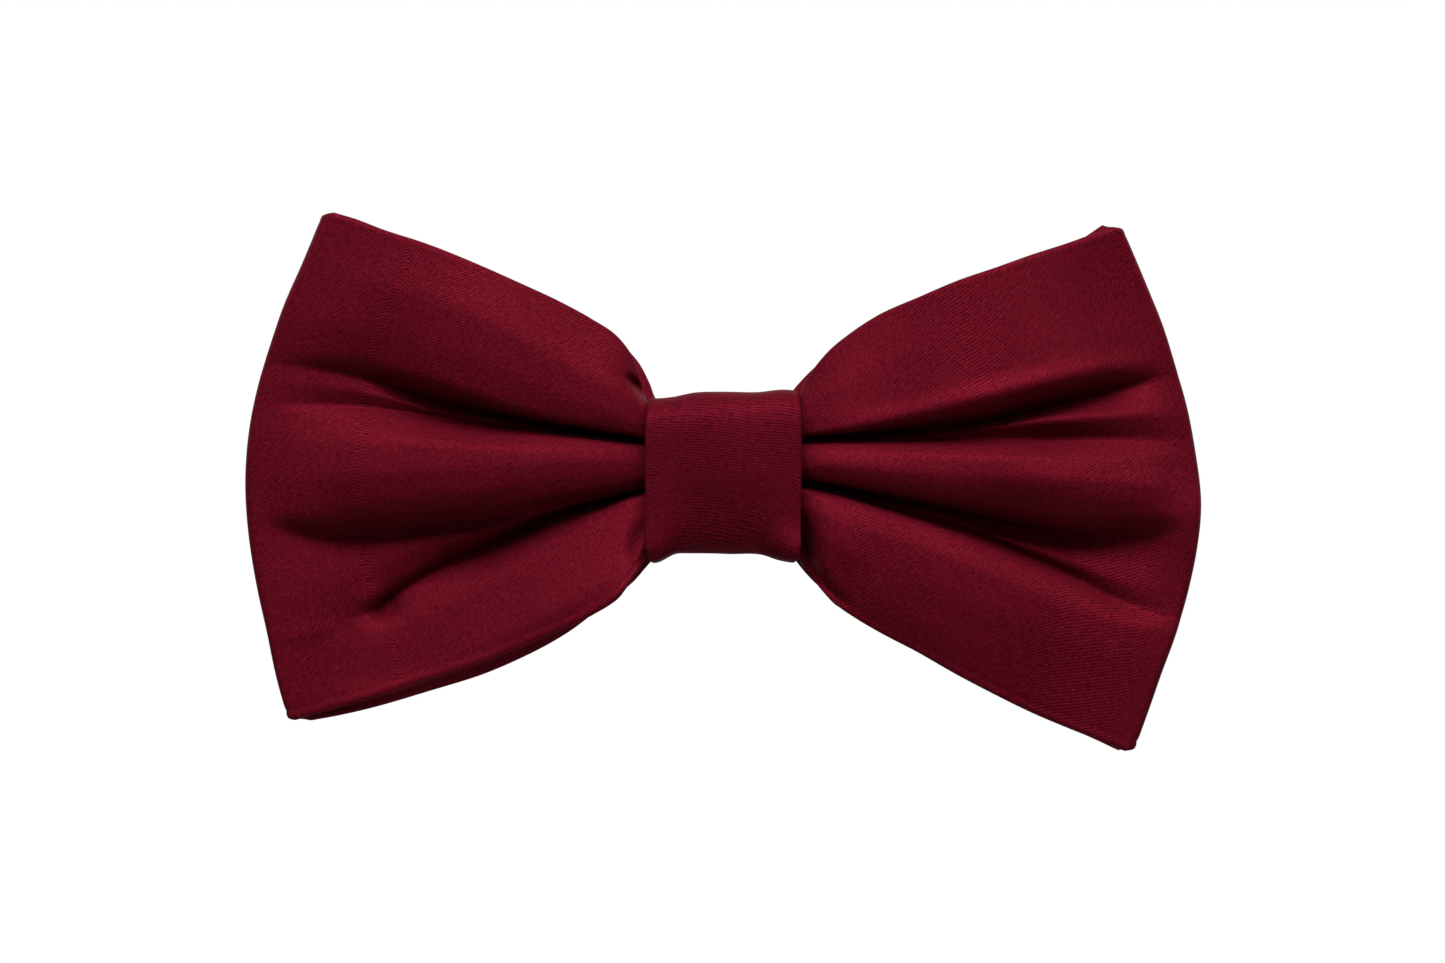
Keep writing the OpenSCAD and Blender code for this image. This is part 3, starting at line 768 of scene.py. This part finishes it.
def even_angles(start, end, count, inset=0.0):
    """Angles round the knot that give equal steps along its surface."""
    degrees = np.linspace(start, end, ANGLE_SAMPLES)
    line = np.array([knot_path(d, 0.0, inset) for d in degrees])
    distance = along(line)
    return np.interp(np.linspace(0, distance[-1], count + 1), distance, degrees)


def band_row(degrees):
    """One row of the band's outer surface, across its width."""
    front = max(0.0, -math.cos(math.radians(degrees)))
    half_w = KNOT_HALF_W + KNOT_BARREL * front
    lap = max(0.0, (degrees - LAP_FROM) / (BAND_END - LAP_FROM))
    rise = LAP_RISE * lap * lap * (3 - 2 * lap)
    row = []
    for x in half_w * np.sin(np.linspace(-1, 1, BAND_COLUMNS + 1) * math.pi / 2):
        y, z = knot_path(degrees, x, -rise)
        low = max(0.0, -z - FLARE_FROM) / (KNOT_HALF_H - FLARE_FROM)
        corner = 1 / (1 + math.exp(-(abs(x) - FLARE_AT) / FLARE_EDGE))
        flare = FLARE[x > 0] * corner * low**2
        tuck = TUCK * (1 - corner) * max(0.0, -z)
        row.append((x, y + front * (tuck - flare), z))
    return np.array(row)


def soft_waves(points, size, count, seed):
    """Small smooth unevenness at points: a few slanting waves with seeded directions."""
    draw = np.random.default_rng(seed)
    total = np.zeros(points.shape[:-1])
    for _ in range(count):
        direction = draw.normal(size=3)
        direction = direction / np.linalg.norm(direction) * draw.uniform(*WAVE_RANGE)
        total += np.sin(points @ direction + draw.uniform(*WAVE_STARTS))
    return size * total / math.sqrt(count)


def make_band(material):
    """The knot's band, and its length."""
    angles = even_angles(BAND_START, BAND_END, BAND_ROWS)
    outer = np.array([band_row(d) for d in angles])
    normal = grid_normals(outer)
    outer = outer + normal * soft_waves(outer, *BAND_WAVES)[..., None]
    rings = closed_rows(outer, BAND_T, BAND_NORMAL_PASSES, BAND_GROOVE)
    uv = loop_uv(outer, rings.shape[1], BAND_T)
    faces = tube_faces(*rings.shape[:2])
    band = mesh_object("knot_band", rings.reshape(-1, 3), faces, material, uv.reshape(-1, 2))
    return band, along(outer[:, BAND_COLUMNS // 2])[-1]


def tube(name, lines, radius, material, sides=8):
    """Round threads or wires along lines of points, as one mesh."""
    points = []
    faces = []
    for line in lines:
        line = np.asarray(line, float)
        count = len(line)
        before = np.concatenate([line[:1], line[:-1]])
        after = np.concatenate([line[1:], line[-1:]])
        tangent = after - before
        tangent = tangent / np.linalg.norm(tangent, axis=1, keepdims=True)
        upright = abs(tangent[:, 2]).max() >= 0.9
        guide = np.array([1.0, 0.0, 0.0]) if upright else np.array([0.0, 0.0, 1.0])
        side = np.cross(tangent, guide)
        side = side / np.linalg.norm(side, axis=1, keepdims=True)
        up = np.cross(side, tangent)
        base = len(points)
        for i in range(count):
            for k in range(sides):
                a = 2 * math.pi * k / sides
                points.append(line[i] + radius * (side[i] * math.cos(a) + up[i] * math.sin(a)))
        for i in range(count - 1):
            here = base + i * sides
            there = here + sides
            for k in range(sides):
                m = (k + 1) % sides
                faces.append((here + k, there + k, there + m, here + m))
        faces.append(tuple(base + k for k in range(sides)))
        faces.append(tuple(base + (count - 1) * sides + k for k in reversed(range(sides))))
    return mesh_object(name, points, faces, material)


def make_gather_thread(material):
    """Turns of thread round the gathered waist, inside the knot."""
    line = []
    for degrees in np.linspace(0, 360 * GATHER_TURNS, GATHER_POINTS * GATHER_TURNS):
        x = (degrees / 360 - GATHER_TURNS / 2) * GATHER_PITCH
        y, z = knot_path(degrees % 360, x, GATHER_INSET)
        line.append((x, y, z))
    return tube("gather_thread", [line], GATHER_R, material)


def make_closing_stitches(material):
    """Small slanting stitches that close the band's lap at the back."""
    slant = np.array(STITCH_HALF_LENGTH)
    lines = []
    for x in np.linspace(-STITCH_REACH, STITCH_REACH, STITCHES):
        middle = np.array([x, *knot_path(BAND_END, x, -LAP_RISE)])
        arc = []
        for a in np.linspace(0, math.pi, STITCH_POINTS):
            arc.append(middle + slant * math.cos(a) + np.array([0, STITCH_BULGE * math.sin(a), 0]))
        lines.append(arc)
    return tube("knot_closing_stitches", lines, STITCH_R, material)


def make_knot_lining(material):
    """The band's stiff lining: the same loop, just inside it."""
    inset = BAND_T + LINING_GAP
    across = np.linspace(-LINING_HALF_W, LINING_HALF_W, LINING_COLUMNS)
    rows = []
    for degrees in even_angles(0, LINING_END, LINING_ROWS, inset):
        rows.append([(x, *knot_path(degrees, x, inset)) for x in across])
    rings = closed_rows(np.array(rows), LINING_T, LINING_NORMAL_PASSES)
    return mesh_object("knot_lining", rings.reshape(-1, 3), tube_faces(*rings.shape[:2]), material)


def spring_line(side):
    """Centre line of a torsion spring: a leg on the plate, the coil, a leg under the thumb tab."""
    half_h = COIL_PITCH * COIL_TURNS / 2
    line = [(*PLATE_LEG_END, -half_h), (PLATE_LEG_END[0] / 2, PLATE_LEG_RISE, -half_h)]
    for turn in np.linspace(0, COIL_TURNS, int(COIL_TURNS * TURN_POINTS) + 1):
        a = math.radians(-90 - 360 * turn)
        line.append((COIL_R * math.cos(a), COIL_R * math.sin(a), COIL_PITCH * turn - half_h))
    line.append((TAB_LEG_END[0] / 2, TAB_LEG_RISE, half_h))
    line.append((*TAB_LEG_END, half_h))
    return [(side * (HINGE_X + x), HINGE_Y + y, z) for x, y, z in line]


# ---------------------------------------------------------------- materials

# Colours, dark and light, in linear values
BOW_RED = ((0.034, 0.0009, 0.0032), (0.180, 0.0072, 0.0195))
KNOT_RED = ((0.030, 0.0008, 0.0030), (0.140, 0.0056, 0.0160))
THREAD_RED = ((0.05, 0.002, 0.006), (0.14, 0.01, 0.022))
LINING_RED = ((0.045, 0.010, 0.014), (0.085, 0.018, 0.026))
NICKEL = (0.74, 0.72, 0.68)
SPRING_STEEL = (0.52, 0.52, 0.52)
SPECULAR_TINT = (0.9, 0.12, 0.2, 1)
SHEEN_TINT = (0.9, 0.14, 0.24, 1)
# The satin's twill: distance between lines (mm), slopes on the bow and the knot, and how far it wanders
TWILL_PERIOD = 0.34
TWILL_SLOPE = math.radians(40)
KNOT_TWILL_SLOPE = math.radians(84)
TWILL_WANDER = 2.5
# Grain of the satin, per metre: its fibres and floats along and across the twill, and its patches
FIBRE_GRAIN = (1500, 5200, 1)
FLOAT_GRAIN = (1300, 3000, 1)
PATCH_GRAIN = 90
# How much each adds to the tone, and the tones at which the satin is dark, light and a painted glint
LINE_SHARE = 0.22
FIBRE_SHARE = 0.42
FLOAT_SHARE = 0.42
PATCH_SHARE = 0.16
TONE_STOPS = (0.25, 0.67, 0.9)
# Grain of the thread, the lining, the metal's rolling marks and its smudges, per metre
TWIST_GRAIN = 3000
LINING_GRAIN = 1400
ROLLING_GRAIN = (120, 900, 2400)
SMUDGE_GRAIN = 260
PLATING_WEAR = 0.12


class Nodes:
    """Short calls for building a material's node tree."""

    def __init__(self, name):
        self.material = bpy.data.materials.new(name)
        self.material.use_nodes = True
        self.tree = self.material.node_tree
        self.shader = self.tree.nodes["Principled BSDF"]

    def add(self, kind, **settings):
        node = self.tree.nodes.new(kind)
        for key, value in settings.items():
            setattr(node, key, value)
        return node

    def link(self, source, target):
        self.tree.links.new(source, target)

    def math(self, operation, a, b=None):
        node = self.add("ShaderNodeMath", operation=operation)
        for socket, value in zip(node.inputs, (a, b)):
            if value is None:
                continue
            if isinstance(value, (int, float)):
                socket.default_value = value
            else:
                self.link(value, socket)
        return node.outputs[0]

    def noise(self, vector, scale, detail=2.0):
        node = self.add("ShaderNodeTexNoise")
        node.inputs["Scale"].default_value = scale
        node.inputs["Detail"].default_value = detail
        self.link(vector, node.inputs["Vector"])
        return node.outputs["Fac"]

    def stretched_noise(self, vector, scale, detail=2.0):
        node = self.add("ShaderNodeMapping", vector_type="POINT")
        node.inputs["Scale"].default_value = scale
        self.link(vector, node.inputs["Vector"])
        return self.noise(node.outputs["Vector"], 1.0, detail)

    def ramp(self, factor, stops):
        node = self.add("ShaderNodeValToRGB")
        elements = node.color_ramp.elements
        while len(elements) < len(stops):
            elements.new(0.5)
        for element, (position, colour) in zip(elements, stops):
            element.position = position
            element.color = (*colour, 1)
        self.link(factor, node.inputs["Fac"])
        return node.outputs["Color"]

    def colour(self, source):
        self.link(source, self.shader.inputs["Base Color"])

    def bump(self, height, strength, distance):
        node = self.add("ShaderNodeBump")
        node.inputs["Strength"].default_value = strength
        node.inputs["Distance"].default_value = distance
        self.link(height, node.inputs["Height"])
        self.link(node.outputs["Normal"], self.shader.inputs["Normal"])

    def set(self, **values):
        for name, value in values.items():
            self.shader.inputs[name.replace("_", " ")].default_value = value


def satin_material(name, colours, slope):
    """Satin with fine twill lines at a slope to the cloth's length, in the cloth's own UVs, and painted
    glints in its brightest tones.
    """
    dark, light = colours
    # The brightest tones get a painted highlight: glints of the satin's floats painted into the base
    # colour.
    painted_glint = tuple(c * 1.5 + 0.012 for c in light)
    n = Nodes(name)
    uv = n.add("ShaderNodeUVMap", uv_map="Cloth").outputs["UV"]
    turn = n.add("ShaderNodeMapping", vector_type="POINT")
    turn.inputs["Rotation"].default_value = (0, 0, -slope)
    n.link(uv, turn.inputs["Vector"])
    turned = turn.outputs["Vector"]
    split = n.add("ShaderNodeSeparateXYZ")
    n.link(turned, split.inputs["Vector"])
    fibres = n.stretched_noise(turned, FIBRE_GRAIN)
    floats = n.stretched_noise(turned, FLOAT_GRAIN)
    phase = n.math("MULTIPLY", split.outputs["Y"], 2 * math.pi / (TWILL_PERIOD * MM))
    phase = n.math("ADD", phase, n.math("MULTIPLY", floats, TWILL_WANDER))
    line = n.math("MULTIPLY", n.math("SINE", phase), 0.5)
    place = n.add("ShaderNodeTexCoord").outputs["Object"]
    patch = n.noise(place, PATCH_GRAIN, 3.0)
    tone = n.math("ADD", n.math("MULTIPLY", line, LINE_SHARE), n.math("MULTIPLY", fibres, FIBRE_SHARE))
    tone = n.math("ADD", tone, n.math("MULTIPLY", floats, FLOAT_SHARE))
    tone = n.math("ADD", tone, n.math("MULTIPLY", patch, PATCH_SHARE))
    n.colour(n.ramp(tone, list(zip(TONE_STOPS, (dark, light, painted_glint)))))
    height = n.math("ADD", n.math("MULTIPLY", line, 0.5), fibres)
    n.bump(n.math("ADD", height, floats), strength=0.32, distance=0.00006)
    n.set(Metallic=0.16, Roughness=0.48, Specular_IOR_Level=0.03, Specular_Tint=SPECULAR_TINT)
    n.set(Sheen_Weight=0.06, Sheen_Roughness=0.35, Sheen_Tint=SHEEN_TINT)
    return n.material


def thread_material():
    """Dull twisted thread."""
    n = Nodes("thread")
    place = n.add("ShaderNodeTexCoord").outputs["Object"]
    twist = n.noise(place, TWIST_GRAIN, 3.0)
    n.colour(n.ramp(twist, list(zip((0.35, 0.65), THREAD_RED))))
    n.bump(twist, strength=0.5, distance=0.00005)
    n.set(Roughness=0.7, Specular_IOR_Level=0.15)
    return n.material


def lining_material():
    """Matt non-woven lining, dyed dark."""
    n = Nodes("interlining")
    place = n.add("ShaderNodeTexCoord").outputs["Object"]
    fibre = n.noise(place, LINING_GRAIN, 5.0)
    n.colour(n.ramp(fibre, list(zip((0.3, 0.7), LINING_RED))))
    n.bump(fibre, strength=0.4, distance=0.0001)
    n.set(Roughness=0.9, Specular_IOR_Level=0.2)
    return n.material


def metal_material(name, colour, rough):
    """Plated sheet metal: fine rolling marks and faint smudges in the gloss."""
    n = Nodes(name)
    place = n.add("ShaderNodeTexCoord").outputs["Object"]
    marks = n.stretched_noise(place, ROLLING_GRAIN, 3.0)
    smudge = n.noise(place, SMUDGE_GRAIN, 3.0)
    gloss = n.math("ADD", n.math("MULTIPLY", marks, PLATING_WEAR), n.math("MULTIPLY", smudge, PLATING_WEAR))
    n.link(n.math("ADD", gloss, rough - PLATING_WEAR), n.shader.inputs["Roughness"])
    shade = tuple(0.8 * c for c in colour)
    n.colour(n.ramp(smudge, [(0.25, shade), (0.6, colour)]))
    n.bump(marks, strength=0.15, distance=0.00002)
    n.set(Metallic=1.0)
    return n.material


def plain_material(name, colour, roughness):
    n = Nodes(name)
    n.set(Base_Color=(*colour, 1), Roughness=roughness)
    return n.material


# ---------------------------------------------------------------- the object

satin = satin_material("bow_satin", BOW_RED, TWILL_SLOPE)
knot_satin = satin_material("knot_satin", KNOT_RED, KNOT_TWILL_SLOPE)
thread = thread_material()
lining = lining_material()
nickel = metal_material("plated_steel", NICKEL, 0.24)
spring_steel = metal_material("spring_steel", SPRING_STEEL, 0.34)

bow, bow_length = make_bow(satin)
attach(bow, "bow")
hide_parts("bow_outer_satin", "bow_inner_satin", "bow_interlining", "bow_edge_seams")

band, band_length = make_band(knot_satin)
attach(band, "bow")
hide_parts("knot_wrap")

knot_lining = make_knot_lining(lining)
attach(knot_lining, "bow")
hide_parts("knot_interlining")

for make, node in ((make_gather_thread, "gather_thread"), (make_closing_stitches, "knot_closing_stitches")):
    piece = make(thread)
    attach(piece, "bow")
    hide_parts(node)

for side, name in ((1, "right"), (-1, "left")):
    coil = tube(f"{name}_torsion_spring", [spring_line(side)], WIRE_R, spring_steel, sides=10)
    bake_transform(coil)
    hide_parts(f"{name}_spring")

for node in ("clip_base_plate", "left_jaw", "right_jaw", "left_hinge_pin", "right_hinge_pin"):
    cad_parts[node].material_slots[0].material = nickel
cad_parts["bow_back_seam"].material_slots[0].material = thread


# ---------------------------------------------------------------- camera, floor and light, in metres

LENS = 100
SENSOR_W = 36
FRAME_W = 0.182
FRAME_CENTRE = Vector((-0.0001, 0, -0.0006))
# The frame has this width at this y, in front of the knot.
FRAME_Y = -0.008
FLOOR_Z = -0.42
FLOOR_R = 0.3
FLOOR_SIDES = 96
# Strength of the sky below and above, and the heights between which it changes
SKY_STRENGTH = (0.012, 0.16)
SKY_HEIGHTS = (-0.2, 0.5)
# Strength of the glow behind and above the bow, and where it sets in
GLOW_STRENGTH = (0.0, 0.6)
GLOW_RANGE = (0.2, 0.8)
# Area lights, all aimed at the knot: name, place, width and height, watts
LIGHTS = [
    ("key", (0, -0.42, 0.5), (0.6, 0.25), 4.6),
    ("left", (-0.6, -0.35, 0.5), (0.3, 0.3), 0.8),
    ("right", (0.6, -0.35, 0.5), (0.3, 0.3), 1.5),
    ("front", (0, -0.9, 0.2), (0.9, 0.2), 0.5),
]


def aim(thing, target):
    thing.rotation_euler = (Vector(target) - thing.location).to_track_quat("-Z", "Y").to_euler()


def add_camera():
    camera = bpy.data.objects.new("camera", bpy.data.cameras.new("camera"))
    bpy.context.scene.collection.objects.link(camera)
    camera.data.lens = LENS
    camera.data.sensor_width = SENSOR_W
    target = FRAME_CENTRE + Vector((0, FRAME_Y, 0))
    camera.location = target - Vector((0, FRAME_W * LENS / SENSOR_W, 0))
    aim(camera, target)
    bpy.context.scene.camera = camera


def add_light(name, place, size, watts):
    data = bpy.data.lights.new(name, "AREA")
    data.shape = "RECTANGLE"
    data.size, data.size_y = size
    data.energy = watts
    light = bpy.data.objects.new(name, data)
    light.location = place
    bpy.context.scene.collection.objects.link(light)
    aim(light, (0, 0, 0))


def add_floor():
    mesh = bpy.data.meshes.new("floor")
    angles = np.linspace(0, 2 * math.pi, FLOOR_SIDES + 1)[:-1]
    rim = [(FLOOR_R * math.cos(a), FLOOR_R * math.sin(a), FLOOR_Z) for a in angles]
    mesh.from_pydata(rim, [], [tuple(range(FLOOR_SIDES))])
    floor = bpy.data.objects.new("floor", mesh)
    mesh.materials.append(plain_material("floor", (0.9, 0.9, 0.9), 0.9))
    bpy.context.scene.collection.objects.link(floor)


def add_world():
    """A white backdrop for the camera, and for the object a soft sky that is dark below."""
    world = bpy.data.worlds.new("studio")
    world.use_nodes = True
    tree = world.node_tree

    def mapped(source, place, strength):
        node = tree.nodes.new("ShaderNodeMapRange")
        for name, value in zip(("From Min", "From Max", "To Min", "To Max"), (*place, *strength)):
            node.inputs[name].default_value = value
        tree.links.new(source, node.inputs["Value"])
        return node.outputs["Result"]

    def joined(operation, a, b):
        node = tree.nodes.new("ShaderNodeMath")
        node.operation = operation
        tree.links.new(a, node.inputs[0])
        tree.links.new(b, node.inputs[1])
        return node.outputs[0]

    place = tree.nodes.new("ShaderNodeTexCoord").outputs["Generated"]
    split = tree.nodes.new("ShaderNodeSeparateXYZ")
    tree.links.new(place, split.inputs["Vector"])
    sky = mapped(split.outputs["Z"], SKY_HEIGHTS, SKY_STRENGTH)
    slant = joined("ADD", split.outputs["Y"], split.outputs["Z"])
    both = joined("MAXIMUM", sky, mapped(slant, GLOW_RANGE, GLOW_STRENGTH))
    seen = tree.nodes.new("ShaderNodeLightPath").outputs["Is Camera Ray"]
    background = tree.nodes["Background"]
    tree.links.new(joined("MAXIMUM", seen, both), background.inputs["Strength"])
    background.inputs["Color"].default_value = (1, 1, 1, 1)
    bpy.context.scene.world = world


add_camera()
add_floor()
add_world()
for light in LIGHTS:
    add_light(*light)
bpy.context.scene.view_settings.view_transform = "Standard"
